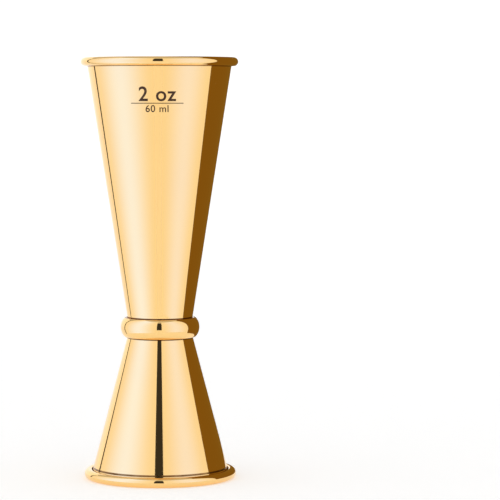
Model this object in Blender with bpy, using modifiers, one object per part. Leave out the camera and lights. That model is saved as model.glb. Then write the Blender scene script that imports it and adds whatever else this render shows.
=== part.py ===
"""Bar jigger: two conical steel cups joined floor to floor, with a half-round band over the waist.

Metres, +Z up. The origin is on the axis, in the plane that the jigger stands on: the rim of its small cup.
"""

from math import asin, cos, pi, radians, sin, tan

import bpy

# Driving dimensions
TOTAL_HEIGHT = 0.127
SHEET = 0.0008
FLOOR_CORNER = 0.0015
GAP = 0.0003

LARGE_RIM_RADIUS = 0.02365
LARGE_CURL_RADIUS = 0.0013
LARGE_CONE_ANGLE = radians(8.86)
LARGE_CURL_END = radians(-110)

SMALL_RIM_RADIUS = 0.0230
SMALL_CURL_RADIUS = 0.0015
SMALL_CONE_ANGLE = radians(14.74)
SMALL_CURL_END = radians(-118)

JOINT_HEIGHT = 0.0456
BRAZE_THICKNESS = 0.0006
BRAZE_RADIUS = 0.0070

BAND_HEIGHT = 0.0060
BAND_CENTRE = 0.0458
BAND_RADIUS = 0.0119
BULGE_DEPTH = 0.0024
BULGE_HALF_HEIGHT = 0.00335

# The flat on the crown of each curl spans this angle to each side of it
CROWN_FLAT = radians(14)

STEPS_AROUND = 48
RISING_SEGMENTS = 3
FALLING_SEGMENTS = 9
INSIDE_SEGMENTS = 9
CORNER_SEGMENTS = 4
BULGE_SEGMENTS = 14

LARGE_FLOOR = JOINT_HEIGHT + BRAZE_THICKNESS / 2 + GAP + SHEET
SMALL_FLOOR = JOINT_HEIGHT - BRAZE_THICKNESS / 2 - GAP - SHEET
WELD_DISTANCE = 0.00001


def arc(centre, radius, start, end, segments):
    """Points on an arc in the X-Z plane, both ends included."""
    angles = [start + (end - start) * step / segments for step in range(segments + 1)]
    return [(centre[0] + radius * cos(angle), centre[1] + radius * sin(angle)) for angle in angles]


class CupSection:
    """The half-section of a cup with its mouth up, its heights measured up from its rim plane."""

    def __init__(self, rim_radius, curl_radius, cone_angle, curl_end, depth):
        self.curl_centre = (rim_radius - curl_radius, -curl_radius * cos(CROWN_FLAT))
        self.curl_radius = curl_radius
        self.cone_angle = cone_angle
        self.curl_end = curl_end
        self.floor = -depth

    def inner_radius(self, height):
        """The wall's inner face, a cone that meets the curl's outer face along a tangent."""
        beside_curl = self.curl_centre[0] - self.curl_radius / cos(self.cone_angle)
        return beside_curl + tan(self.cone_angle) * (height - self.curl_centre[1])

    def outer_radius(self, height):
        return self.inner_radius(height) + SHEET / cos(self.cone_angle)

    def curl(self):
        """From the wall's inner face over the crown and under to the tip, then back inside the curl."""
        wall_side = pi - self.cone_angle
        before_crown = pi / 2 + CROWN_FLAT
        past_crown = pi / 2 - CROWN_FLAT
        return (
            arc(self.curl_centre, self.curl_radius, wall_side, before_crown, RISING_SEGMENTS)
            + arc(self.curl_centre, self.curl_radius, past_crown, self.curl_end, FALLING_SEGMENTS)
            + arc(self.curl_centre, self.curl_radius - SHEET, self.curl_end, wall_side, INSIDE_SEGMENTS)
        )

    def outline(self):
        """From the axis inside the cup, up its inside, round the curl and down its outside to the axis."""
        corner_height = self.floor + FLOOR_CORNER
        corner = (self.inner_radius(corner_height) - FLOOR_CORNER / cos(self.cone_angle), corner_height)
        wall_side = -self.cone_angle
        return (
            [(0.0, self.floor)]
            + arc(corner, FLOOR_CORNER, -pi / 2, wall_side, CORNER_SEGMENTS)
            + self.curl()
            + arc(corner, FLOOR_CORNER + SHEET, wall_side, -pi / 2, CORNER_SEGMENTS)
            + [(0.0, self.floor - SHEET)]
        )


LARGE_SECTION = CupSection(
    LARGE_RIM_RADIUS, LARGE_CURL_RADIUS, LARGE_CONE_ANGLE, LARGE_CURL_END, TOTAL_HEIGHT - LARGE_FLOOR
)
SMALL_SECTION = CupSection(SMALL_RIM_RADIUS, SMALL_CURL_RADIUS, SMALL_CONE_ANGLE, SMALL_CURL_END, SMALL_FLOOR)


def large_cup_outline():
    """The large cup stands mouth up at the full height."""
    return [(radius, height + TOTAL_HEIGHT) for radius, height in LARGE_SECTION.outline()]


def small_cup_outline():
    """The small cup is mouth down with its rim at zero, so its section is turned over and read backwards."""
    return [(radius, -height) for radius, height in reversed(SMALL_SECTION.outline())]


def bore_face_of_large_cup(height):
    return LARGE_SECTION.outer_radius(height - TOTAL_HEIGHT) + GAP / cos(LARGE_CONE_ANGLE)


def bore_face_of_small_cup(height):
    return SMALL_SECTION.outer_radius(-height) + GAP / cos(SMALL_CONE_ANGLE)


def band_outline():
    """A half-round outside, and a bore of two cones that follow the two walls and meet at a waist."""
    edge = asin(BAND_HEIGHT / 2 / BULGE_HALF_HEIGHT)
    angles = [edge - 2 * edge * step / BULGE_SEGMENTS for step in range(BULGE_SEGMENTS + 1)]
    outside = [
        (BAND_RADIUS - BULGE_DEPTH * (1 - cos(angle)), BAND_CENTRE + BULGE_HALF_HEIGHT * sin(angle))
        for angle in angles
    ]
    top = BAND_CENTRE + BAND_HEIGHT / 2
    bottom = BAND_CENTRE - BAND_HEIGHT / 2
    closing = tan(LARGE_CONE_ANGLE) + tan(SMALL_CONE_ANGLE)
    waist = bottom + (bore_face_of_small_cup(bottom) - bore_face_of_large_cup(bottom)) / closing
    bore = [
        (bore_face_of_small_cup(bottom), bottom),
        (bore_face_of_large_cup(waist), waist),
        (bore_face_of_large_cup(top), top),
    ]
    return outside + bore


def braze_outline():
    """A thin disc of filler metal, its edge drawn in by surface tension."""
    half = BRAZE_THICKNESS / 2
    edge = arc((BRAZE_RADIUS - half, JOINT_HEIGHT), half, pi / 2, -pi / 2, CORNER_SEGMENTS)
    return [(0.0, JOINT_HEIGHT + half)] + edge + [(0.0, JOINT_HEIGHT - half)]


def metal(name, colour, roughness, metallic):
    material = bpy.data.materials.new(name)
    material.use_nodes = True
    shader = material.node_tree.nodes["Principled BSDF"]
    shader.inputs["Base Color"].default_value = colour
    shader.inputs["Roughness"].default_value = roughness
    shader.inputs["Metallic"].default_value = metallic
    material.diffuse_color = colour
    return material


def turned(name, outline, closed, material, collection):
    """One solid of revolution: the outline as a wire in the X-Z plane, turned about Z by a Screw modifier."""
    points = [(radius, 0.0, height) for radius, height in outline]
    edges = [(index, index + 1) for index in range(len(points) - 1)]
    if closed:
        edges.append((len(points) - 1, 0))
    mesh = bpy.data.meshes.new(name)
    mesh.from_pydata(points, edges, [])
    mesh.materials.append(material)
    piece = bpy.data.objects.new(name, mesh)
    collection.objects.link(piece)
    screw = piece.modifiers.new("Turn", "SCREW")
    screw.axis = "Z"
    screw.angle = 2 * pi
    screw.steps = STEPS_AROUND
    screw.render_steps = STEPS_AROUND
    screw.use_merge_vertices = True
    screw.merge_threshold = WELD_DISTANCE
    screw.use_smooth_shade = True
    return piece


def clear_scene():
    for thing in list(bpy.data.objects):
        bpy.data.objects.remove(thing, do_unlink=True)


def build():
    clear_scene()
    jigger = bpy.data.collections.new("bar_jigger")
    bpy.context.scene.collection.children.link(jigger)
    large_plate = metal("large_cup_plate", (0.98, 0.66, 0.27, 1.0), 0.10, 1.0)
    small_plate = metal("small_cup_plate", (0.98, 0.66, 0.27, 1.0), 0.10, 1.0)
    band_plate = metal("collar_band_plate", (0.97, 0.65, 0.26, 1.0), 0.10, 1.0)
    filler = metal("braze_filler", (0.62, 0.50, 0.36, 1.0), 0.40, 0.9)
    turned("large_cup", large_cup_outline(), False, large_plate, jigger)
    turned("small_cup", small_cup_outline(), False, small_plate, jigger)
    turned("collar_band", band_outline(), True, band_plate, jigger)
    turned("braze_disc", braze_outline(), False, filler, jigger)


build()
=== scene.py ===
from math import atan2, cos, pi, radians, sin, tan

import bmesh
import bpy
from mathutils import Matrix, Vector


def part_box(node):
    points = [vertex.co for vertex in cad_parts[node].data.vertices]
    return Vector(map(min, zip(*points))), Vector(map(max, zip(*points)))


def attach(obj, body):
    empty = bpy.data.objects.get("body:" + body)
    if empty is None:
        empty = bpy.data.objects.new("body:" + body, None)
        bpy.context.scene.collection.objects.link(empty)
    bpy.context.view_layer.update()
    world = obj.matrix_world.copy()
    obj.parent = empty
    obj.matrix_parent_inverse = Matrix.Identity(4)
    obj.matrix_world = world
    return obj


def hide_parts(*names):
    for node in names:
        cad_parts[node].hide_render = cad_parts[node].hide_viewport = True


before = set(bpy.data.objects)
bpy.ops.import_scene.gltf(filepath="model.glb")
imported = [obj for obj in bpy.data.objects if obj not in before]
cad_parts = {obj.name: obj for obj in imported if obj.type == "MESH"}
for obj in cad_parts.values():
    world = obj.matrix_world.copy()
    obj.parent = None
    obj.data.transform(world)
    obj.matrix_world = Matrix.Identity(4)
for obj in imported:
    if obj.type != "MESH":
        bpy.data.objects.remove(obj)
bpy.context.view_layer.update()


# ---- Large cup -------------------------------------------------------------------------------
# A tall cone drawn from one blank of 0.8 mm stainless sheet, its floor in one piece with its wall.
# The mouth is curled outwards into a hollow bead, and the whole cup is polished and gold plated.

SHEET = 0.0008
STEPS_AROUND = 192
CURL_POINTS = 72
WALL_CUTS = 56
CORNER_RADIUS = 0.0019
FLOOR_CUTS = 7
CORNER_STEPS = 8
SAME_POINT = 0.000002
SMOOTH_BELOW = radians(40)

LARGE_CURL_RADIUS = 0.0013
LARGE_CONE_ANGLE = radians(8.86)
LARGE_CURL_END = radians(-116)


def bare_selection():
    """Object mode with nothing selected, so that the next operator acts on its own primitive only."""
    if bpy.context.mode != "OBJECT":
        bpy.ops.object.mode_set(mode="OBJECT")
    bpy.ops.object.select_all(action="DESELECT")


def pick_points(piece, wanted):
    """In edit mode, selects the vertices for which wanted(position) is true, and no others."""
    sheet = bmesh.from_edit_mesh(piece.data)
    sheet.select_mode = {"VERT"}
    for corner in sheet.verts:
        corner.select = wanted(corner.co)
    sheet.select_flush_mode()
    bmesh.update_edit_mesh(piece.data)


def pick_nearest(piece, place):
    sheet = bmesh.from_edit_mesh(piece.data)
    nearest = min(sheet.verts, key=lambda corner: (corner.co - place).length).co.copy()
    pick_points(piece, lambda co: (co - nearest).length < 1e-7)


def pull_out(step):
    """Extrudes what is selected by one straight step."""
    bpy.ops.mesh.extrude_region_move(TRANSFORM_OT_translate={"value": step})


def turn_about_axis():
    """Spins the half-section that is being edited into a surface, and closes its seam and its pole."""
    bpy.ops.mesh.select_all(action="SELECT")
    bpy.ops.mesh.spin(steps=STEPS_AROUND, angle=2 * pi, center=(0, 0, 0), axis=(0, 0, 1))
    bpy.ops.mesh.select_all(action="SELECT")
    bpy.ops.mesh.remove_doubles(threshold=SAME_POINT)
    bpy.ops.mesh.normals_make_consistent(inside=False)
    bpy.ops.object.mode_set(mode="OBJECT")


def drawn_cup(name, rim_radius, rim_height, floor_height, curl_radius, curl_end, cone_angle, mouth):
    """A cup of even sheet. floor_height is its floor's outer face. mouth is 1 if it opens upwards, and
    -1 if it opens downwards."""
    curl = Vector((rim_radius - curl_radius, 0, rim_height - mouth * curl_radius))
    bare_selection()
    bpy.ops.mesh.primitive_circle_add(
        vertices=CURL_POINTS, radius=curl_radius - SHEET / 2, location=curl,
        rotation=(pi / 2, mouth * cone_angle, 0))
    cup = bpy.context.object
    cup.name = name
    cup.data.name = name
    bpy.ops.object.transform_apply(location=True, rotation=True, scale=True)
    bpy.ops.object.mode_set(mode="EDIT")

    # The curl stays open between its tip and the wall that it grows out of
    wall_side = pi - cone_angle

    def in_opening(co):
        angle = atan2(mouth * (co.z - curl.z), co.x - curl.x) % (2 * pi)
        return wall_side + 0.01 < angle < curl_end % (2 * pi)

    pick_points(cup, in_opening)
    bpy.ops.mesh.delete(type="VERT")

    # Down the wall, and in along the floor to the axis
    start = curl + (curl_radius - SHEET / 2) * Vector((cos(wall_side), 0, mouth * sin(wall_side)))
    pick_nearest(cup, start)
    floor_middle = floor_height + mouth * SHEET / 2
    drop = abs(start.z - floor_middle)
    foot = Vector((start.x - drop * tan(cone_angle), 0, floor_middle))
    pull_out(foot - start)
    pull_out((-foot.x, 0, 0))
    pick_points(cup, lambda co: (co - start).length < 1e-6 or (co - foot).length < 1e-6)
    bpy.ops.mesh.subdivide(number_cuts=WALL_CUTS)
    centre = Vector((0, 0, floor_middle))
    pick_points(cup, lambda co: (co - centre).length < 1e-6 or (co - foot).length < 1e-6)
    bpy.ops.mesh.subdivide(number_cuts=FLOOR_CUTS)
    pick_nearest(cup, foot)
    bpy.ops.mesh.bevel(affect="VERTICES", offset=CORNER_RADIUS * 0.55, segments=CORNER_STEPS)
    turn_about_axis()

    wall = cup.modifiers.new("Sheet", "SOLIDIFY")
    wall.thickness = SHEET
    wall.offset = 0
    wall.use_even_offset = True
    bpy.ops.object.modifier_apply(modifier=wall.name)
    bpy.ops.object.shade_smooth_by_angle(angle=SMOOTH_BELOW)
    return cup


large_low, large_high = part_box("large_cup")
large_cup = drawn_cup("large_cup_sheet", large_high[0], large_high[2], large_low[2], LARGE_CURL_RADIUS,
                      LARGE_CURL_END, LARGE_CONE_ANGLE, 1)
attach(large_cup, "root")
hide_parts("large_cup")


# ---- Small cup -------------------------------------------------------------------------------
# A short, wider-angled cone, drawn and curled in the same way, mouth down. Its curled rim is the
# ring that the jigger stands on.

SMALL_CURL_RADIUS = 0.0015
SMALL_CONE_ANGLE = radians(14.74)
SMALL_CURL_END = radians(-122)

small_low, small_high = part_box("small_cup")
small_cup = drawn_cup("small_cup_sheet", small_high[0], small_low[2], small_high[2], SMALL_CURL_RADIUS,
                      SMALL_CURL_END, SMALL_CONE_ANGLE, -1)
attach(small_cup, "root")
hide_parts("small_cup")


# ---- Collar band -----------------------------------------------------------------------------
# A turned half-round ring, slipped over the joint before the cups are brazed, so that it is held
# between their tapers. It hides the joint, and it is polished and plated with the cups.

BAND_POINTS = 128
BAND_BULGE = 0.0024
BAND_HALF_ROUND = 0.00335
BAND_SEAM = 0.00012
BAND_LIP = 0.00015
LARGE_BORE_END = 0.0009
SMALL_BORE_END = 0.0012


def outer_wall(height, curl_radius, cone_angle, rim_radius, rim_height, mouth):
    """Radius of a cup's outer face at a height."""
    below_curl = mouth * (rim_height - height) - curl_radius
    inner = rim_radius - curl_radius - curl_radius / cos(cone_angle) - tan(cone_angle) * below_curl
    return inner + SHEET / cos(cone_angle)


def large_wall(height):
    return outer_wall(height, LARGE_CURL_RADIUS, LARGE_CONE_ANGLE, large_high.x, large_high.z, 1)


def small_wall(height):
    return outer_wall(height, SMALL_CURL_RADIUS, SMALL_CONE_ANGLE, small_high.x, small_low.z, -1)


band_low, band_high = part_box("collar_band")
band_middle = Vector((band_high.x - BAND_BULGE, 0, (band_low.z + band_high.z) / 2))
bare_selection()
bpy.ops.mesh.primitive_circle_add(
    vertices=BAND_POINTS, radius=BAND_HALF_ROUND, location=band_middle, rotation=(pi / 2, 0, 0))
band = bpy.context.object
band.name = "collar_band_ring"
band.data.name = "collar_band_ring"
bpy.ops.object.transform_apply(location=True, rotation=True, scale=True)
bpy.ops.object.mode_set(mode="EDIT")
bpy.ops.mesh.select_all(action="SELECT")
bpy.ops.transform.resize(value=(BAND_BULGE / BAND_HALF_ROUND, 1, 1), center_override=band_middle)

# The half-round is cut off level with the band's ends and open towards the cups
pick_points(band, lambda co: co.x < band_middle.x or not band_low.z < co.z < band_high.z)
bpy.ops.mesh.delete(type="VERT")
outline = bmesh.from_edit_mesh(band.data)
upper_end = max((corner.co.copy() for corner in outline.verts), key=lambda co: co.z)
lower_end = min((corner.co.copy() for corner in outline.verts), key=lambda co: co.z)
bore = [
    Vector((large_wall(upper_end.z) + BAND_SEAM, 0, upper_end.z)),
    Vector((large_wall(band_middle.z + LARGE_BORE_END) + BAND_SEAM, 0, band_middle.z + LARGE_BORE_END)),
    Vector((small_wall(band_middle.z - SMALL_BORE_END) + BAND_SEAM, 0, band_middle.z - SMALL_BORE_END)),
    Vector((small_wall(lower_end.z) + BAND_SEAM, 0, lower_end.z)),
]
place = upper_end
for corner in bore + [lower_end]:
    pick_nearest(band, place)
    pull_out(corner - place)
    place = corner
bpy.ops.mesh.select_all(action="SELECT")
bpy.ops.mesh.remove_doubles(threshold=SAME_POINT)
for lip in (upper_end, lower_end, bore[0], bore[3]):
    pick_nearest(band, lip)
    bpy.ops.mesh.bevel(affect="VERTICES", offset=BAND_LIP, segments=4)
turn_about_axis()
bpy.ops.object.shade_smooth_by_angle(angle=SMOOTH_BELOW)
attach(band, "root")
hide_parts("collar_band")


# ---- Gold plating ----------------------------------------------------------------------------
# Both cups and the band are polished together and then plated with a few micrometres of gold. The
# plating is a mirror, dulled a little by fine lines round the axis, handling haze and hairlines.

GOLD = (1.0, 0.66, 0.26, 1)
THIN_GOLD = (0.985, 0.648, 0.262, 1)
WORN_GOLD = (0.93, 0.70, 0.40, 1)
RUB_HEIGHT = 0.00022
ETCH_WIDTH = 0.00022
# The widths of the painted shade lines in the crevices, and their dark colour
FINE_SEAM = 0.00022
WIDE_SEAM = 0.00056
SEAM_SHADE_TONE = (0.14, 0.042, 0.003, 1)
CUP_LINES = 9000
BAND_LINES = 11000
MIRROR = 0.03
INNER_HAZE = 0.24


def gold_plate(name, lines_per_metre, polish, inner_start, inner_slope, inner_haze, levels, seams):
    """Polished gold plating. The inside of a cup is where the radius is below inner_start + inner_slope times
    the height: there it has inner_haze, and a fine etched ring at each of the levels. Each of the seams is
    (height, width), where a thin dark line of painted shade darkens the crevice."""
    material = bpy.data.materials.new(name)
    material.use_nodes = True
    tree = material.node_tree
    nodes, links = tree.nodes, tree.links
    nodes.clear()

    output = nodes.new("ShaderNodeOutputMaterial")
    output.label = "Plated surface"
    output.location = (1500, 0)
    plating = nodes.new("ShaderNodeBsdfPrincipled")
    plating.label = "Gold plating"
    plating.location = (1200, 0)
    plating.inputs["Metallic"].default_value = 1.0
    plating.inputs["IOR"].default_value = 1.5
    links.new(plating.outputs["BSDF"], output.inputs["Surface"])

    # Where the surface is: its height, and its distance from the axis
    place_frame = nodes.new("NodeFrame")
    place_frame.label = "Place on the jigger"
    place = nodes.new("ShaderNodeTexCoord")
    place.label = "Object place"
    place.location = (-1900, 0)
    parts = nodes.new("ShaderNodeSeparateXYZ")
    parts.label = "Height"
    parts.location = (-1700, -100)
    across = nodes.new("ShaderNodeVectorMath")
    across.label = "Across the axis only"
    across.operation = "MULTIPLY"
    across.inputs[1].default_value = (1, 1, 0)
    across.location = (-1700, 120)
    radius = nodes.new("ShaderNodeVectorMath")
    radius.label = "Distance from the axis"
    radius.operation = "LENGTH"
    radius.location = (-1500, 120)
    for node in (place, parts, across, radius):
        node.parent = place_frame
    links.new(place.outputs["Object"], parts.inputs["Vector"])
    links.new(place.outputs["Object"], across.inputs[0])
    links.new(across.outputs["Vector"], radius.inputs[0])

    # Broad, faint changes in the thickness of the plating
    tone_frame = nodes.new("NodeFrame")
    tone_frame.label = "Plating tone"
    tone_cloud = nodes.new("ShaderNodeTexNoise")
    tone_cloud.label = "Thick and thin plating"
    tone_cloud.inputs["Scale"].default_value = 55
    tone_cloud.inputs["Detail"].default_value = 3
    tone_cloud.inputs["Roughness"].default_value = 0.45
    tone_cloud.location = (-900, 520)
    tone = nodes.new("ShaderNodeValToRGB")
    tone.label = "Gold, thick to thin"
    tone.color_ramp.elements[0].position = 0.35
    tone.color_ramp.elements[0].color = GOLD
    tone.color_ramp.elements[1].position = 0.72
    tone.color_ramp.elements[1].color = THIN_GOLD
    tone.location = (-700, 520)
    for node in (tone_cloud, tone):
        node.parent = tone_frame
    links.new(place.outputs["Object"], tone_cloud.inputs["Vector"])
    links.new(tone_cloud.outputs["Fac"], tone.inputs["Fac"])

    # The very bottom of the standing rim is rubbed by the bar top
    rub_frame = nodes.new("NodeFrame")
    rub_frame.label = "Rubbed standing ring"
    rub_band = nodes.new("ShaderNodeMapRange")
    rub_band.label = "Lowest part of the rim"
    rub_band.inputs["From Min"].default_value = RUB_HEIGHT
    rub_band.inputs["From Max"].default_value = 0
    rub_band.location = (-900, 860)
    rub_speckle = nodes.new("ShaderNodeTexNoise")
    rub_speckle.label = "Patchy rubbing"
    rub_speckle.inputs["Scale"].default_value = 900
    rub_speckle.inputs["Detail"].default_value = 4
    rub_speckle.location = (-900, 1120)
    rub = nodes.new("ShaderNodeMath")
    rub.label = "Rubbed places"
    rub.operation = "MULTIPLY"
    rub.location = (-680, 940)
    worn = nodes.new("ShaderNodeMix")
    worn.label = "Gold worn thin"
    worn.data_type = "RGBA"
    worn.inputs["B"].default_value = WORN_GOLD
    worn.location = (-400, 640)
    for node in (rub_band, rub_speckle, rub, worn):
        node.parent = rub_frame
    links.new(parts.outputs["Z"], rub_band.inputs["Value"])
    links.new(place.outputs["Object"], rub_speckle.inputs["Vector"])
    links.new(rub_band.outputs["Result"], rub.inputs[0])
    links.new(rub_speckle.outputs["Fac"], rub.inputs[1])
    links.new(rub.outputs["Value"], worn.inputs["Factor"])
    links.new(tone.outputs["Color"], worn.inputs["A"])

    # Fine polishing lines that run round the axis, on walls, beads and floors alike
    line_frame = nodes.new("NodeFrame")
    line_frame.label = "Polishing lines"
    along = nodes.new("ShaderNodeMath")
    along.label = "Way along the section"
    along.operation = "ADD"
    along.location = (-1300, -200)
    line_pitch = nodes.new("ShaderNodeMath")
    line_pitch.label = "Lines to the metre"
    line_pitch.operation = "MULTIPLY"
    line_pitch.inputs[1].default_value = lines_per_metre
    line_pitch.location = (-1120, -200)
    round_the_axis = nodes.new("ShaderNodeVectorMath")
    round_the_axis.label = "Slow change round the axis"
    round_the_axis.operation = "SCALE"
    round_the_axis.inputs["Scale"].default_value = 40
    round_the_axis.location = (-1120, -20)
    line_place = nodes.new("ShaderNodeCombineXYZ")
    line_place.label = "Stretched place"
    line_place.location = (-740, -140)
    round_parts = nodes.new("ShaderNodeSeparateXYZ")
    round_parts.label = "Place round the axis"
    round_parts.location = (-930, -20)
    lines = nodes.new("ShaderNodeTexNoise")
    lines.label = "Polishing lines"
    lines.inputs["Scale"].default_value = 1
    lines.inputs["Detail"].default_value = 3
    lines.inputs["Roughness"].default_value = 0.6
    lines.location = (-540, -140)
    for node in (along, line_pitch, round_the_axis, line_place, round_parts, lines):
        node.parent = line_frame
    links.new(parts.outputs["Z"], along.inputs[0])
    links.new(radius.outputs["Value"], along.inputs[1])
    links.new(along.outputs["Value"], line_pitch.inputs[0])
    links.new(across.outputs["Vector"], round_the_axis.inputs[0])
    links.new(round_the_axis.outputs["Vector"], round_parts.inputs["Vector"])
    links.new(round_parts.outputs["X"], line_place.inputs["X"])
    links.new(round_parts.outputs["Y"], line_place.inputs["Y"])
    links.new(line_pitch.outputs["Value"], line_place.inputs["Z"])
    links.new(line_place.outputs["Vector"], lines.inputs["Vector"])

    # Soft smudges of handling haze, which only change how sharp the mirror is
    haze_frame = nodes.new("NodeFrame")
    haze_frame.label = "Handling haze"
    smudges = nodes.new("ShaderNodeTexNoise")
    smudges.label = "Smudges"
    smudges.inputs["Scale"].default_value = 130
    smudges.inputs["Detail"].default_value = 5
    smudges.inputs["Roughness"].default_value = 0.55
    smudges.inputs["Distortion"].default_value = 0.6
    smudges.location = (-900, -520)
    haze = nodes.new("ShaderNodeMapRange")
    haze.label = "Clean to smudged"
    haze.interpolation_type = "SMOOTHSTEP"
    haze.inputs["From Min"].default_value = 0.42
    haze.inputs["From Max"].default_value = 0.75
    haze.inputs["To Min"].default_value = polish
    haze.inputs["To Max"].default_value = polish + 0.02
    haze.location = (-700, -520)
    line_haze = nodes.new("ShaderNodeMath")
    line_haze.label = "Lines blur a little"
    line_haze.operation = "MULTIPLY_ADD"
    line_haze.inputs[1].default_value = 0.01
    line_haze.location = (-300, -420)
    for node in (smudges, haze, line_haze):
        node.parent = haze_frame
    links.new(place.outputs["Object"], smudges.inputs["Vector"])
    links.new(smudges.outputs["Fac"], haze.inputs["Value"])
    links.new(lines.outputs["Fac"], line_haze.inputs[0])
    links.new(haze.outputs["Result"], line_haze.inputs[2])

    # Sparse hairline scratches, from two sets of long thin streaks
    scratch_frame = nodes.new("NodeFrame")
    scratch_frame.label = "Hairline scratches"
    hairlines = []
    for turn, stretch, low in (((0.5, 0.9, 0.3), 160, -860), ((-0.8, 0.4, 1.1), 190, -1160)):
        slant = nodes.new("ShaderNodeMapping")
        slant.label = "Slanted streaks"
        slant.inputs["Rotation"].default_value = turn
        slant.inputs["Scale"].default_value = (stretch, stretch * 16, stretch * 16)
        slant.location = (-1120, low)
        streaks = nodes.new("ShaderNodeTexNoise")
        streaks.label = "Long thin streaks"
        streaks.inputs["Scale"].default_value = 1
        streaks.inputs["Detail"].default_value = 1
        streaks.location = (-900, low)
        hairline = nodes.new("ShaderNodeValToRGB")
        hairline.label = "Only the sharpest"
        hairline.color_ramp.elements[0].position = 0.74
        hairline.color_ramp.elements[1].position = 0.80
        hairline.location = (-700, low)
        for node in (slant, streaks, hairline):
            node.parent = scratch_frame
        links.new(place.outputs["Object"], slant.inputs["Vector"])
        links.new(slant.outputs["Vector"], streaks.inputs["Vector"])
        links.new(streaks.outputs["Fac"], hairline.inputs["Fac"])
        hairlines.append(hairline)
    scratches = nodes.new("ShaderNodeMath")
    scratches.label = "All hairlines"
    scratches.operation = "MAXIMUM"
    scratches.location = (-400, -1000)
    scratch_blur = nodes.new("ShaderNodeMath")
    scratch_blur.label = "Hairlines blur the mirror"
    scratch_blur.operation = "MULTIPLY_ADD"
    scratch_blur.inputs[1].default_value = 0.06
    scratch_blur.location = (-80, -480)
    for node in (scratches, scratch_blur):
        node.parent = scratch_frame
    links.new(hairlines[0].outputs["Color"], scratches.inputs[0])
    links.new(hairlines[1].outputs["Color"], scratches.inputs[1])
    links.new(scratches.outputs["Value"], scratch_blur.inputs[0])
    links.new(line_haze.outputs["Value"], scratch_blur.inputs[2])

    # The inside is polished less, because a wheel doesn't reach into it
    inside_frame = nodes.new("NodeFrame")
    inside_frame.label = "Inside of the cup"
    mid_wall = nodes.new("ShaderNodeMath")
    mid_wall.label = "Middle of the wall"
    mid_wall.operation = "MULTIPLY_ADD"
    mid_wall.inputs[1].default_value = inner_slope
    mid_wall.inputs[2].default_value = inner_start
    mid_wall.location = (-1300, -1500)
    inside = nodes.new("ShaderNodeMath")
    inside.label = "Inside the wall"
    inside.operation = "LESS_THAN"
    inside.location = (-1120, -1500)
    inner_blur = nodes.new("ShaderNodeMath")
    inner_blur.label = "Duller inside"
    inner_blur.operation = "MULTIPLY_ADD"
    inner_blur.inputs[1].default_value = inner_haze
    inner_blur.location = (140, -560)
    for node in (mid_wall, inside, inner_blur):
        node.parent = inside_frame
    links.new(parts.outputs["Z"], mid_wall.inputs[0])
    links.new(radius.outputs["Value"], inside.inputs[0])
    links.new(mid_wall.outputs["Value"], inside.inputs[1])
    links.new(inside.outputs["Value"], inner_blur.inputs[0])
    links.new(scratch_blur.outputs["Value"], inner_blur.inputs[2])

    # Fine etched rings on the inside, which show the smaller measures
    etch_frame = nodes.new("NodeFrame")
    etch_frame.label = "Etched measure rings"
    etched = None
    for number, level in enumerate(levels):
        ring = nodes.new("ShaderNodeMath")
        ring.label = "Ring at one measure"
        ring.operation = "COMPARE"
        ring.inputs[1].default_value = level
        ring.inputs[2].default_value = ETCH_WIDTH / 2
        ring.location = (-900, -1700 - 200 * number)
        ring.parent = etch_frame
        links.new(parts.outputs["Z"], ring.inputs[0])
        if etched is None:
            etched = ring
            continue
        both = nodes.new("ShaderNodeMath")
        both.label = "This ring and those before it"
        both.operation = "MAXIMUM"
        both.location = (-700, -1700 - 200 * number)
        both.parent = etch_frame
        links.new(etched.outputs["Value"], both.inputs[0])
        links.new(ring.outputs["Value"], both.inputs[1])
        etched = both
    surface_blur = inner_blur
    surface_tone = worn
    if etched is not None:
        etch_inside = nodes.new("ShaderNodeMath")
        etch_inside.label = "Inside only"
        etch_inside.operation = "MULTIPLY"
        etch_inside.location = (-460, -1600)
        etch_tone = nodes.new("ShaderNodeMix")
        etch_tone.label = "Etched ring is duller"
        etch_tone.data_type = "RGBA"
        etch_tone.inputs["B"].default_value = (0.34, 0.20, 0.07, 1)
        etch_tone.location = (400, 300)
        etch_blur = nodes.new("ShaderNodeMath")
        etch_blur.label = "Etched ring is matt"
        etch_blur.operation = "MULTIPLY_ADD"
        etch_blur.inputs[1].default_value = 0.35
        etch_blur.location = (400, -560)
        for node in (etch_inside, etch_tone, etch_blur):
            node.parent = etch_frame
        links.new(etched.outputs["Value"], etch_inside.inputs[0])
        links.new(inside.outputs["Value"], etch_inside.inputs[1])
        links.new(etch_inside.outputs["Value"], etch_tone.inputs["Factor"])
        links.new(worn.outputs["Result"], etch_tone.inputs["A"])
        links.new(etch_inside.outputs["Value"], etch_blur.inputs[0])
        links.new(inner_blur.outputs["Value"], etch_blur.inputs[2])
        surface_blur = etch_blur
        surface_tone = etch_tone
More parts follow.
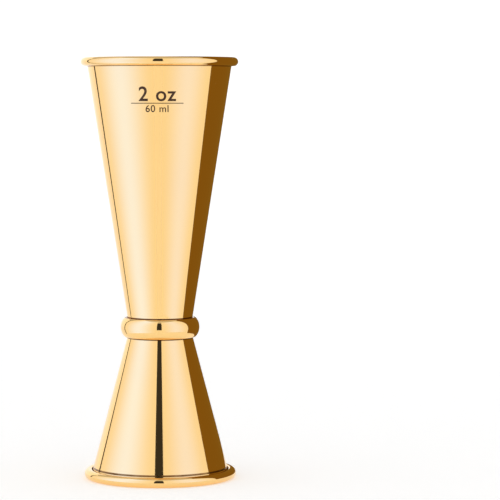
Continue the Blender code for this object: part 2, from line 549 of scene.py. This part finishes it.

    # Painted shade: a thin dark line in each crevice, stronger in some places than in others, and a little
    # rougher there
    seam_frame = nodes.new("NodeFrame")
    seam_frame.label = "Painted shade in the seams"
    seam_speckle = nodes.new("ShaderNodeTexNoise")
    seam_speckle.label = "More here, less there"
    seam_speckle.inputs["Scale"].default_value = 260
    seam_speckle.inputs["Detail"].default_value = 3
    seam_speckle.location = (-900, -2500)
    seam_amount = nodes.new("ShaderNodeMapRange")
    seam_amount.label = "Never quite even"
    seam_amount.inputs["From Min"].default_value = 0.3
    seam_amount.inputs["From Max"].default_value = 0.7
    seam_amount.inputs["To Min"].default_value = 0.75
    seam_amount.location = (-700, -2500)
    seam_lines = None
    for number, seam in enumerate(seams):
        crevice = nodes.new("ShaderNodeMath")
        crevice.label = "One crevice"
        crevice.operation = "COMPARE"
        crevice.inputs[1].default_value = seam[0]
        crevice.inputs[2].default_value = seam[1] / 2
        crevice.location = (-900, -2800 - 200 * number)
        crevice.parent = seam_frame
        links.new(parts.outputs["Z"], crevice.inputs[0])
        if seam_lines is None:
            seam_lines = crevice
            continue
        joined = nodes.new("ShaderNodeMath")
        joined.label = "This crevice and those before it"
        joined.operation = "MAXIMUM"
        joined.location = (-700, -2800 - 200 * number)
        joined.parent = seam_frame
        links.new(seam_lines.outputs["Value"], joined.inputs[0])
        links.new(crevice.outputs["Value"], joined.inputs[1])
        seam_lines = joined
    outside = nodes.new("ShaderNodeMath")
    outside.label = "Outside only"
    outside.operation = "SUBTRACT"
    outside.inputs[0].default_value = 1
    outside.location = (-500, -2600)
    seam_outside = nodes.new("ShaderNodeMath")
    seam_outside.label = "Crevices outside"
    seam_outside.operation = "MULTIPLY"
    seam_outside.location = (-320, -2700)
    seam_shade = nodes.new("ShaderNodeMath")
    seam_shade.label = "Painted shade in them"
    seam_shade.operation = "MULTIPLY"
    seam_shade.location = (-140, -2600)
    # Painted shade: the crevices are mixed towards a dark colour
    seam_shade_mix = nodes.new("ShaderNodeMix")
    seam_shade_mix.label = "Painted shade is dark"
    seam_shade_mix.data_type = "RGBA"
    seam_shade_mix.inputs["B"].default_value = SEAM_SHADE_TONE
    seam_shade_mix.location = (700, 300)
    seam_blur = nodes.new("ShaderNodeMath")
    seam_blur.label = "Shaded seams are rougher"
    seam_blur.operation = "MULTIPLY_ADD"
    seam_blur.inputs[1].default_value = 0.15
    seam_blur.location = (560, -560)
    for node in (seam_speckle, seam_amount, outside, seam_outside, seam_shade, seam_shade_mix, seam_blur):
        node.parent = seam_frame
    links.new(place.outputs["Object"], seam_speckle.inputs["Vector"])
    links.new(seam_speckle.outputs["Fac"], seam_amount.inputs["Value"])
    links.new(inside.outputs["Value"], outside.inputs[1])
    links.new(seam_lines.outputs["Value"], seam_outside.inputs[0])
    links.new(outside.outputs["Value"], seam_outside.inputs[1])
    links.new(seam_outside.outputs["Value"], seam_shade.inputs[0])
    links.new(seam_amount.outputs["Result"], seam_shade.inputs[1])
    links.new(seam_shade.outputs["Value"], seam_shade_mix.inputs["Factor"])
    links.new(surface_tone.outputs["Result"], seam_shade_mix.inputs["A"])
    links.new(seam_shade.outputs["Value"], seam_blur.inputs[0])
    links.new(surface_blur.outputs["Value"], seam_blur.inputs[2])

    # Rubbing also takes the mirror off the ring
    rub_blur = nodes.new("ShaderNodeMath")
    rub_blur.label = "Rubbed ring is matt"
    rub_blur.operation = "MULTIPLY_ADD"
    rub_blur.inputs[1].default_value = 0.22
    rub_blur.location = (700, -400)
    rub_blur.parent = rub_frame
    links.new(rub.outputs["Value"], rub_blur.inputs[0])
    links.new(seam_blur.outputs["Value"], rub_blur.inputs[2])

    # The relief of the lines and the hairlines
    relief_frame = nodes.new("NodeFrame")
    relief_frame.label = "Relief"
    line_relief = nodes.new("ShaderNodeBump")
    line_relief.label = "Lines in relief"
    line_relief.inputs["Strength"].default_value = 0.12
    line_relief.inputs["Distance"].default_value = 0.000003
    line_relief.location = (500, -900)
    scratch_relief = nodes.new("ShaderNodeBump")
    scratch_relief.label = "Hairlines cut in"
    scratch_relief.invert = True
    scratch_relief.inputs["Strength"].default_value = 0.10
    scratch_relief.inputs["Distance"].default_value = 0.000004
    scratch_relief.location = (760, -900)
    for node in (line_relief, scratch_relief):
        node.parent = relief_frame
    links.new(lines.outputs["Fac"], line_relief.inputs["Height"])
    links.new(scratches.outputs["Value"], scratch_relief.inputs["Height"])
    links.new(line_relief.outputs["Normal"], scratch_relief.inputs["Normal"])

    links.new(seam_shade_mix.outputs["Result"], plating.inputs["Base Color"])
    links.new(rub_blur.outputs["Value"], plating.inputs["Roughness"])
    links.new(scratch_relief.outputs["Normal"], plating.inputs["Normal"])
    return material


def filled_height(floor_radius, cone_angle, volume):
    """How far above a conical cup's floor a volume comes."""
    slope = tan(cone_angle)
    return ((3 * volume * slope / pi + floor_radius ** 3) ** (1 / 3) - floor_radius) / slope


FLUID_OUNCE = 29.5735e-6
large_floor = large_low.z + SHEET
small_floor = small_high.z - SHEET
large_inner = large_wall(large_floor) - SHEET / cos(LARGE_CONE_ANGLE)
small_inner = small_wall(small_floor) - SHEET / cos(SMALL_CONE_ANGLE)
large_levels = [
    large_floor + filled_height(large_inner, LARGE_CONE_ANGLE, ounces * FLUID_OUNCE)
    for ounces in (0.5, 1, 1.5)]
small_levels = [
    small_floor - filled_height(small_inner, SMALL_CONE_ANGLE, ounces * FLUID_OUNCE)
    for ounces in (0.5, 0.75)]

large_slope = tan(LARGE_CONE_ANGLE)
small_slope = -tan(SMALL_CONE_ANGLE)
# Heights of the painted shade lines, in the crevices where the walls meet the beads and the band
large_seams = [(large_high.z - 2 * LARGE_CURL_RADIUS - 0.0001, FINE_SEAM), (band_high.z + 0.0001, FINE_SEAM)]
small_seams = [(small_low.z + 2 * SMALL_CURL_RADIUS + 0.0003, WIDE_SEAM), (band_low.z - 0.0002, FINE_SEAM)]
large_cup.data.materials.append(gold_plate(
    "large_cup_gold", CUP_LINES, MIRROR, large_inner + SHEET / 2 - large_slope * large_floor, large_slope,
    INNER_HAZE, large_levels, large_seams))
small_cup.data.materials.append(gold_plate(
    "small_cup_gold", CUP_LINES, MIRROR, small_inner + SHEET / 2 - small_slope * small_floor, small_slope,
    INNER_HAZE, small_levels, small_seams))
# The band's painted shade lines are at its two ends
band.data.materials.append(gold_plate(
    "collar_band_gold", BAND_LINES, MIRROR, 0, 0, 0, [], [(band_high.z, FINE_SEAM), (band_low.z, FINE_SEAM)]))


# ---- Braze disc ------------------------------------------------------------------------------
# The thin layer of brass filler that joins the two floors. It is hidden inside the collar, and it
# is as the torch left it: coarse-grained, with scale and flux stains.

braze = bpy.data.materials.new("braze_filler")
braze.use_nodes = True
nodes, links = braze.node_tree.nodes, braze.node_tree.links
nodes.clear()
output = nodes.new("ShaderNodeOutputMaterial")
output.label = "Braze surface"
output.location = (900, 0)
filler = nodes.new("ShaderNodeBsdfPrincipled")
filler.label = "Brass filler"
filler.location = (600, 0)
filler.inputs["Metallic"].default_value = 0.9
place = nodes.new("ShaderNodeTexCoord")
place.label = "Object place"
place.location = (-700, 0)

grain_frame = nodes.new("NodeFrame")
grain_frame.label = "Cast grain"
grain = nodes.new("ShaderNodeTexVoronoi")
grain.label = "Frozen grains"
grain.inputs["Scale"].default_value = 1400
grain.location = (-450, -250)
grain_relief = nodes.new("ShaderNodeBump")
grain_relief.label = "Grain in relief"
grain_relief.inputs["Strength"].default_value = 0.4
grain_relief.inputs["Distance"].default_value = 0.00004
grain_relief.location = (300, -350)
for node in (grain, grain_relief):
    node.parent = grain_frame

stain_frame = nodes.new("NodeFrame")
stain_frame.label = "Scale and flux stains"
stain = nodes.new("ShaderNodeTexNoise")
stain.label = "Stains"
stain.inputs["Scale"].default_value = 320
stain.inputs["Detail"].default_value = 6
stain.location = (-450, 200)
stain_tone = nodes.new("ShaderNodeValToRGB")
stain_tone.label = "Scale to bright brass"
stain_tone.color_ramp.elements[0].position = 0.38
stain_tone.color_ramp.elements[0].color = (0.16, 0.10, 0.055, 1)
stain_tone.color_ramp.elements[1].position = 0.62
stain_tone.color_ramp.elements[1].color = (0.68, 0.50, 0.24, 1)
stain_tone.location = (-150, 250)
stain_blur = nodes.new("ShaderNodeMapRange")
stain_blur.label = "Stained is matt"
stain_blur.inputs["To Min"].default_value = 0.62
stain_blur.inputs["To Max"].default_value = 0.32
stain_blur.location = (-150, 0)
for node in (stain, stain_tone, stain_blur):
    node.parent = stain_frame
links.new(place.outputs["Object"], grain.inputs["Vector"])
links.new(place.outputs["Object"], stain.inputs["Vector"])
links.new(stain.outputs["Fac"], stain_tone.inputs["Fac"])
links.new(stain.outputs["Fac"], stain_blur.inputs["Value"])
links.new(grain.outputs["Distance"], grain_relief.inputs["Height"])
links.new(stain_tone.outputs["Color"], filler.inputs["Base Color"])
links.new(stain_blur.outputs["Result"], filler.inputs["Roughness"])
links.new(grain_relief.outputs["Normal"], filler.inputs["Normal"])
links.new(filler.outputs["BSDF"], output.inputs["Surface"])
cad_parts["braze_disc"].data.materials.clear()
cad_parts["braze_disc"].data.materials.append(braze)


# ---- Capacity mark ---------------------------------------------------------------------------
# The brim measure, pad-printed on the front of the large cup in dark brown ink: a thin film that
# follows the cone, a little raised and less glossy than the plating.

MARK_HEIGHT = 0.1144
BIG_TEXT_SIZE = 0.0060
BIG_TEXT_BOLDNESS = 0.014
BIG_TEXT_RISE = 0.0014
SMALL_TEXT_SIZE = 0.0029
SMALL_TEXT_BOLDNESS = 0.010
SMALL_TEXT_DROP = 0.0028
RULE_DROP = 0.0011
RULE_WIDTH = 0.0158
RULE_THICKNESS = 0.00022
INK_DEPTH = 0.00004
STRIP = 0.0004


def wrapped_mark(words, size, boldness, middle):
    """Words in ink on the front of the large cup. middle is the height of their middle."""
    bare_selection()
    bpy.ops.object.text_add(location=(0, 0, 0))
    mark = bpy.context.object
    mark.data.body = words
    mark.data.size = size
    mark.data.align_x = "CENTER"
    mark.data.align_y = "CENTER"
    mark.data.space_character = 1.08
    mark.data.resolution_u = 6
    mark.data.offset = size * boldness
    bpy.ops.object.convert(target="MESH")
    mark = bpy.context.object
    mark.rotation_euler = (pi / 2, 0, 0)
    mark.location = (0, 0, middle)
    bpy.ops.object.transform_apply(location=True, rotation=True, scale=True)
    return mark


def cut_in_strips(piece):
    """Cuts a flat mark into upright strips, so that it can follow the round wall."""
    across = [corner.co.x for corner in piece.data.vertices]
    left, right = min(across), max(across)
    bpy.ops.object.mode_set(mode="EDIT")
    for number in range(1, int((right - left) / STRIP) + 1):
        bpy.ops.mesh.select_all(action="SELECT")
        bpy.ops.mesh.bisect(plane_co=(left + STRIP * number, 0, 0), plane_no=(1, 0, 0))
    bpy.ops.object.mode_set(mode="OBJECT")


def lay_on_wall(piece):
    """Wraps a flat mark round the cone, keeping its width, and gives the ink its thickness."""
    for corner in piece.data.vertices:
        wall = large_wall(corner.co.z) + INK_DEPTH / 2
        turned = corner.co.x / wall
        corner.co = (wall * sin(turned), -wall * cos(turned), corner.co.z)
    ink = piece.modifiers.new("Ink film", "SOLIDIFY")
    ink.thickness = INK_DEPTH
    ink.offset = 0
    bpy.ops.object.modifier_apply(modifier=ink.name)


big_words = wrapped_mark("2 oz", BIG_TEXT_SIZE, BIG_TEXT_BOLDNESS, MARK_HEIGHT + BIG_TEXT_RISE)
small_words = wrapped_mark("60 ml", SMALL_TEXT_SIZE, SMALL_TEXT_BOLDNESS, MARK_HEIGHT - SMALL_TEXT_DROP)
bare_selection()
bpy.ops.mesh.primitive_plane_add(size=1, location=(0, 0, MARK_HEIGHT - RULE_DROP), rotation=(pi / 2, 0, 0))
rule = bpy.context.object
rule.scale = (RULE_WIDTH, RULE_THICKNESS, 1)
bpy.ops.object.transform_apply(location=True, rotation=True, scale=True)
big_words.select_set(True)
small_words.select_set(True)
rule.select_set(True)
bpy.context.view_layer.objects.active = big_words
bpy.ops.object.join()
mark = bpy.context.object
mark.name = "capacity_mark"
mark.data.name = "capacity_mark"
bpy.ops.object.mode_set(mode="EDIT")
bpy.ops.mesh.select_all(action="SELECT")
bpy.ops.mesh.remove_doubles(threshold=0.000001)
bpy.ops.object.mode_set(mode="OBJECT")
cut_in_strips(mark)
lay_on_wall(mark)

ink = bpy.data.materials.new("mark_ink")
ink.use_nodes = True
nodes, links = ink.node_tree.nodes, ink.node_tree.links
nodes.clear()
output = nodes.new("ShaderNodeOutputMaterial")
output.label = "Ink surface"
output.location = (700, 0)
film = nodes.new("ShaderNodeBsdfPrincipled")
film.label = "Dark brown ink"
film.location = (400, 0)
film.inputs["Metallic"].default_value = 0.0
film.inputs["Specular IOR Level"].default_value = 0.2
place = nodes.new("ShaderNodeTexCoord")
place.label = "Object place"
place.location = (-800, 0)
print_frame = nodes.new("NodeFrame")
print_frame.label = "Printed film"
stipple = nodes.new("ShaderNodeTexNoise")
stipple.label = "Uneven film"
stipple.inputs["Scale"].default_value = 2600
stipple.inputs["Detail"].default_value = 3
stipple.location = (-550, 100)
ink_tone = nodes.new("ShaderNodeValToRGB")
ink_tone.label = "Ink, thick to thin"
ink_tone.color_ramp.elements[0].position = 0.3
ink_tone.color_ramp.elements[0].color = (0.040, 0.016, 0.005, 1)
ink_tone.color_ramp.elements[1].position = 0.75
ink_tone.color_ramp.elements[1].color = (0.085, 0.036, 0.010, 1)
ink_tone.location = (-250, 150)
ink_blur = nodes.new("ShaderNodeMapRange")
ink_blur.label = "Satin to dull"
ink_blur.inputs["To Min"].default_value = 0.42
ink_blur.inputs["To Max"].default_value = 0.6
ink_blur.location = (-250, -100)
ink_relief = nodes.new("ShaderNodeBump")
ink_relief.label = "Film grain"
ink_relief.inputs["Strength"].default_value = 0.3
ink_relief.inputs["Distance"].default_value = 0.000005
ink_relief.location = (50, -250)
for node in (stipple, ink_tone, ink_blur, ink_relief):
    node.parent = print_frame
links.new(place.outputs["Object"], stipple.inputs["Vector"])
links.new(stipple.outputs["Fac"], ink_tone.inputs["Fac"])
links.new(stipple.outputs["Fac"], ink_blur.inputs["Value"])
links.new(stipple.outputs["Fac"], ink_relief.inputs["Height"])
links.new(ink_tone.outputs["Color"], film.inputs["Base Color"])
links.new(ink_blur.outputs["Result"], film.inputs["Roughness"])
links.new(ink_relief.outputs["Normal"], film.inputs["Normal"])
links.new(film.outputs["BSDF"], output.inputs["Surface"])
mark.data.materials.append(ink)
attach(mark, "root")


# ---- Studio ----------------------------------------------------------------------------------
# A round white sweep of matt paper, evenly lit. Two softboxes, a brown card at the right and a black card in
# front stand round the jigger, as for any polished metal, and show only in its polish. The cards and the
# softbox frame are no lamps, yet they glow with their own colours, as painted light in place of the light
# they would take from the room.

SWEEP_RADIUS = 1.5
SWEEP_CURVE = 0.5
SWEEP_HEIGHT = 1.3
SWEEP_INSET = 0.9
CURVE_STEPS = 10
PAPER = (0.93, 0.93, 0.93, 1)

bare_selection()
bpy.ops.mesh.primitive_circle_add(vertices=128, radius=SWEEP_RADIUS, fill_type="NGON", location=(0, 0, 0))
sweep = bpy.context.object
sweep.name = "paper_sweep"
bpy.ops.object.mode_set(mode="EDIT")
bpy.ops.mesh.select_all(action="SELECT")
bpy.ops.mesh.inset(thickness=SWEEP_INSET)
bpy.ops.object.mode_set(mode="OBJECT")
bpy.ops.object.mode_set(mode="EDIT")


def pick_brim():
    brim = bmesh.from_edit_mesh(sweep.data)
    brim.select_mode = {"EDGE"}
    for edge in brim.edges:
        edge.select = edge.is_boundary
    brim.select_flush_mode()
    bmesh.update_edit_mesh(sweep.data)


reach = SWEEP_RADIUS
lift = 0
for step in range(1, CURVE_STEPS + 1):
    angle = pi / 2 * step / CURVE_STEPS
    next_reach = SWEEP_RADIUS + SWEEP_CURVE * sin(angle)
    next_lift = SWEEP_CURVE * (1 - cos(angle))
    pick_brim()
    bpy.ops.mesh.extrude_region_move(TRANSFORM_OT_translate={"value": (0, 0, next_lift - lift)})
    bpy.ops.transform.resize(value=(next_reach / reach, next_reach / reach, 1), center_override=(0, 0, 0))
    reach, lift = next_reach, next_lift
pick_brim()
bpy.ops.mesh.extrude_region_move(TRANSFORM_OT_translate={"value": (0, 0, SWEEP_HEIGHT - lift)})
bpy.ops.mesh.select_all(action="SELECT")
bpy.ops.mesh.normals_make_consistent(inside=False)
bpy.ops.object.mode_set(mode="OBJECT")
bpy.ops.object.shade_smooth_by_angle(angle=SMOOTH_BELOW)

paper = bpy.data.materials.new("white_paper")
paper.use_nodes = True
paper_shader = paper.node_tree.nodes["Principled BSDF"]
paper_shader.inputs["Base Color"].default_value = PAPER
paper_shader.inputs["Roughness"].default_value = 0.9
paper_shader.inputs["Specular IOR Level"].default_value = 0.0
paper_shader.inputs["Emission Color"].default_value = (1, 1, 1, 1)
paper_shader.inputs["Emission Strength"].default_value = 0.3
sweep.data.materials.append(paper)


def even_glow(name, colour):
    """A surface that glows evenly all over."""
    glow = bpy.data.materials.new(name)
    glow.use_nodes = True
    nodes, links = glow.node_tree.nodes, glow.node_tree.links
    nodes.clear()
    output = nodes.new("ShaderNodeOutputMaterial")
    output.label = "Lit surface"
    output.location = (300, 0)
    lamp = nodes.new("ShaderNodeEmission")
    lamp.label = "Even cloth"
    lamp.inputs["Color"].default_value = (*colour, 1)
    lamp.location = (0, 0)
    links.new(lamp.outputs["Emission"], output.inputs["Surface"])
    return glow


def softbox_glow(name, middle, start, end):
    """The cloth of a softbox: brightest in its middle, and fading evenly to white at both ends."""
    glow = bpy.data.materials.new(name)
    glow.use_nodes = True
    nodes, links = glow.node_tree.nodes, glow.node_tree.links
    nodes.clear()
    output = nodes.new("ShaderNodeOutputMaterial")
    output.label = "Lit surface"
    output.location = (800, 0)
    lamp = nodes.new("ShaderNodeEmission")
    lamp.label = "Soft cloth"
    lamp.location = (600, 0)
    place = nodes.new("ShaderNodeTexCoord")
    place.label = "Object place"
    place.location = (-600, 0)
    front = nodes.new("ShaderNodeMapping")
    front.label = "Azimuth 0 at the front"
    front.inputs["Rotation"].default_value = (0, 0, pi / 2)
    front.location = (-400, 0)
    azimuth = nodes.new("ShaderNodeTexGradient")
    azimuth.label = "Azimuth"
    azimuth.gradient_type = "RADIAL"
    azimuth.location = (-200, 0)
    falloff = nodes.new("ShaderNodeValToRGB")
    falloff.label = "Fades to both ends"
    falloff.color_ramp.interpolation = "EASE"
    falloff.location = (100, 0)
    stops = falloff.color_ramp.elements
    stops.new(0.5)
    for stop, azimuth_there, colour in zip(
            stops, (start, (start + end) / 2, end), (SOFTBOX_END, middle, SOFTBOX_END)):
        stop.position = azimuth_there / 360 + 0.5
        stop.color = (*colour, 1)
    links.new(place.outputs["Object"], front.inputs["Vector"])
    links.new(front.outputs["Vector"], azimuth.inputs["Vector"])
    links.new(azimuth.outputs["Fac"], falloff.inputs["Fac"])
    links.new(falloff.outputs["Color"], lamp.inputs["Color"])
    links.new(lamp.outputs["Emission"], output.inputs["Surface"])
    return glow


def show_in_polish_only(piece):
    piece.visible_camera = False
    piece.visible_diffuse = False
    piece.visible_transmission = False
    piece.visible_volume_scatter = False
    piece.visible_shadow = False


def curved_panel(name, steps, rows, glow):
    """A sheet bent round the axis. Each of its rows is (radius, height, azimuth of one end, azimuth of the
    other), with the azimuths in degrees, 0 at the front and 90 at the right."""
    bare_selection()
    bpy.ops.mesh.primitive_grid_add(x_subdivisions=steps, y_subdivisions=len(rows) - 1, size=1)
    panel = bpy.context.object
    panel.name = name
    panel.data.name = name
    for corner in panel.data.vertices:
        radius, height, start, end = rows[round((corner.co.y + 0.5) * (len(rows) - 1))]
        azimuth = radians(start + (end - start) * (corner.co.x + 0.5))
        corner.co = (radius * sin(azimuth), -radius * cos(azimuth), height)
    bpy.ops.object.shade_smooth_by_angle(angle=radians(30))
    panel.data.materials.append(glow)
    show_in_polish_only(panel)


FOOT = 0.0006
FOOT_REACH = 0.10
PANEL_TOP = 0.42
LEFT_DISTANCE = 0.165
RIGHT_DISTANCE = 0.200
RIGHT_FOOT_REACH = 0.130
BLACK_CARD_DISTANCE = 0.520
BLACK_CARD_TOP = 0.700
FRAME_START = -122
LEFT_START = -118
LEFT_END = -7
RIGHT_START = 7
RIGHT_END = 90
BROWN_CARD_END = 178
BLACK_CARD_HALF = 14
SOFTBOX_END = (1.0, 1.0, 1.0)
COOL_WHITE = (1.0, 1.3, 2.4)
SOFT_WHITE = (1.0, 1.15, 1.8)
# The glowing colours of the black cloth and the brown card, painted light in place of their being lit
BLACK_CLOTH_GLOW = (0.04, 0.04, 0.04)
BROWN_CARD_GLOW = (0.22, 0.12, 0.015)


def floor_and_wall(foot_reach, distance, start, end):
    """The rows of a panel that runs out over the floor and then straight up."""
    return [(foot_reach, FOOT, start, end), (distance, FOOT, start, end), (distance, PANEL_TOP, start, end)]


curved_panel("left_softbox", 24, floor_and_wall(FOOT_REACH, LEFT_DISTANCE, LEFT_START, LEFT_END),
             softbox_glow("left_softbox_cloth", COOL_WHITE, LEFT_START, LEFT_END))
curved_panel("softbox_frame", 2, floor_and_wall(FOOT_REACH, LEFT_DISTANCE, FRAME_START, LEFT_START),
             even_glow("softbox_frame_glow", BLACK_CLOTH_GLOW))
curved_panel("right_softbox", 24, floor_and_wall(RIGHT_FOOT_REACH, RIGHT_DISTANCE, RIGHT_START, RIGHT_END),
             softbox_glow("right_softbox_cloth", SOFT_WHITE, RIGHT_START, RIGHT_END))
curved_panel("brown_card", 24, floor_and_wall(FOOT_REACH, RIGHT_DISTANCE, RIGHT_END, BROWN_CARD_END),
             even_glow("brown_card_glow", BROWN_CARD_GLOW))
curved_panel("black_card", 4, [
    (BLACK_CARD_DISTANCE, FOOT, -BLACK_CARD_HALF, BLACK_CARD_HALF),
    (BLACK_CARD_DISTANCE, BLACK_CARD_TOP, -BLACK_CARD_HALF, BLACK_CARD_HALF)],
    even_glow("black_card_glow", BLACK_CLOTH_GLOW))

world = bpy.data.worlds.new("soft_daylight")
world.use_nodes = True
world.node_tree.nodes["Background"].inputs["Color"].default_value = (1, 1, 1, 1)
world.node_tree.nodes["Background"].inputs["Strength"].default_value = 0.62
bpy.context.scene.world = world
bpy.context.scene.view_settings.view_transform = "Standard"

CAMERA_PLACE = (0.0272, -0.764, 0.1155)
CAMERA_TILT = radians(86.52)
CAMERA_LENS = 182.7
camera_data = bpy.data.cameras.new("camera")
camera_data.lens = CAMERA_LENS
camera_data.sensor_width = 36
camera = bpy.data.objects.new("camera", camera_data)
camera.location = CAMERA_PLACE
camera.rotation_euler = (CAMERA_TILT, 0, 0)
bpy.context.scene.collection.objects.link(camera)
bpy.context.scene.camera = camera
